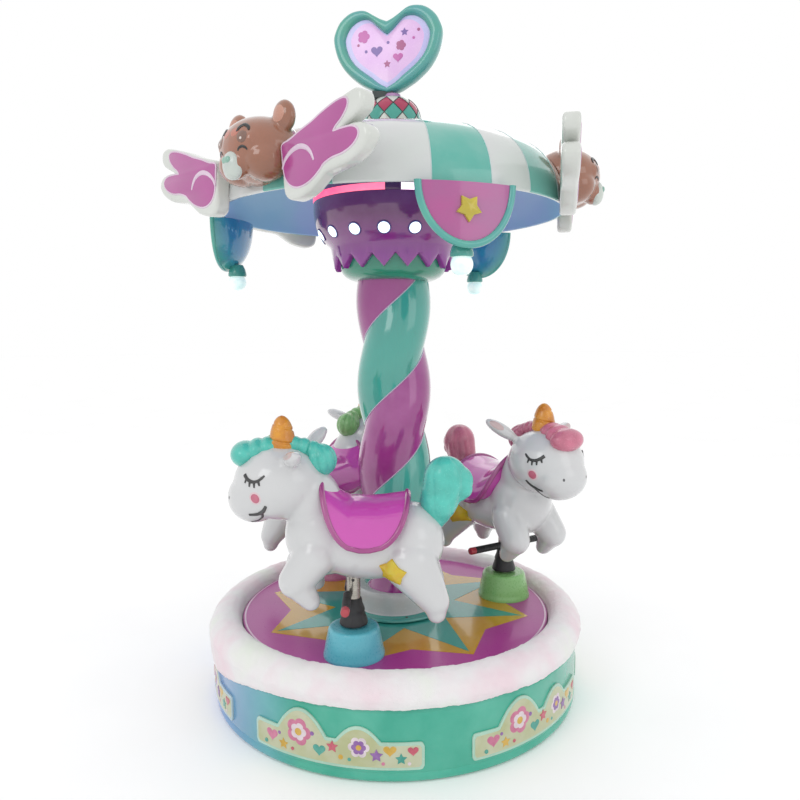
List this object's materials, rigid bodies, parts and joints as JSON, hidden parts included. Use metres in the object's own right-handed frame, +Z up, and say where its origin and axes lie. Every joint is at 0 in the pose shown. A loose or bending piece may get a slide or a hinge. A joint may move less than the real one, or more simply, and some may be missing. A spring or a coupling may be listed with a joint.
{
  "type": "kiddie carousel",
  "caption": "Small carousel with galloping unicorn seats on a turning deck, a twisted column and a domed canopy with a heart sign.",
  "frame": {"origin": "centre of the base's flat bottom face, on the column's axis, on the floor", "axes": "+Z up along the column's axis; -Y towards the front of the heart sign; +X to the viewer's right"},
  "size_m": [1.3937, 1.4333, 2.2431],
  "materials": {
    "teal": "gloss paint on moulded plastic",
    "icing_white": "matte, textured",
    "bearing_steel": "machined",
    "foot_white": "gloss",
    "pink": "gloss paint on moulded plastic",
    "purple": "gloss paint on moulded plastic",
    "light_red": "lit diffuser",
    "canopy_white": "gloss, painted gores",
    "cap_check": "gloss, painted diamonds",
    "heart_light": "lit diffuser",
    "bear_brown": "gloss paint on moulded plastic",
    "pedestal_blue": "gloss",
    "pedestal_green": "gloss",
    "pedestal_pink": "gloss",
    "unicorn_white": "gloss",
    "horn_orange": "gloss",
    "hair_teal": "gloss",
    "hair_pink": "gloss",
    "hair_green": "gloss",
    "black_rubber": "matte"
  },
  "bodies": {
    "base": {"base_skirt": "teal", "icing_rim": "icing_white", "deck_bearing": "bearing_steel", "column_foot": "foot_white", "column_strand_pink": "pink", "column_strand_teal": "teal", "collar_bowl": "teal", "drum": "purple", "led_ring": "light_red", "canopy_shell": "canopy_white", "cap_dome": "cap_check", "heart_frame": "teal", "heart_face": "heart_light", "bear_head_1": "bear_brown", "bear_wings_1": "pink", "bear_head_2": "bear_brown", "bear_wings_2": "pink", "bear_head_3": "bear_brown", "bear_wings_3": "pink", "pendant_1": "teal", "pendant_2": "teal", "pendant_3": "teal"},
    "deck_unit": {"deck": "pink", "pedestal_1": "pedestal_blue", "pedestal_2": "pedestal_green", "pedestal_3": "pedestal_pink"},
    "unicorn_1": {"unicorn_body_1": "unicorn_white", "saddle_1": "pink", "mane_1": "hair_teal", "horn_1": "horn_orange", "tail_1": "hair_teal", "post_1": "black_rubber"},
    "unicorn_2": {"unicorn_body_2": "unicorn_white", "saddle_2": "pink", "mane_2": "hair_pink", "horn_2": "horn_orange", "tail_2": "hair_pink", "post_2": "black_rubber"},
    "unicorn_3": {"unicorn_body_3": "unicorn_white", "saddle_3": "pink", "mane_3": "hair_green", "horn_3": "horn_orange", "tail_3": "hair_green", "post_3": "black_rubber"}
  },
  "joints": [
    {"name": "deck_turn", "type": "hinge", "parent": "base", "child": "deck_unit", "pos_m": [0, 0, 0.257], "axis": [0, 0, 1], "continuous": true},
    {"name": "unicorn_lift_1", "type": "slide", "parent": "deck_unit", "child": "unicorn_1", "axis": [0, 0, 1], "range_m": [0, 0.06]},
    {"name": "unicorn_lift_2", "type": "slide", "parent": "deck_unit", "child": "unicorn_2", "axis": [0, 0, 1], "range_m": [0, 0.06]},
    {"name": "unicorn_lift_3", "type": "slide", "parent": "deck_unit", "child": "unicorn_3", "axis": [0, 0, 1], "range_m": [0, 0.06]}
  ]
}
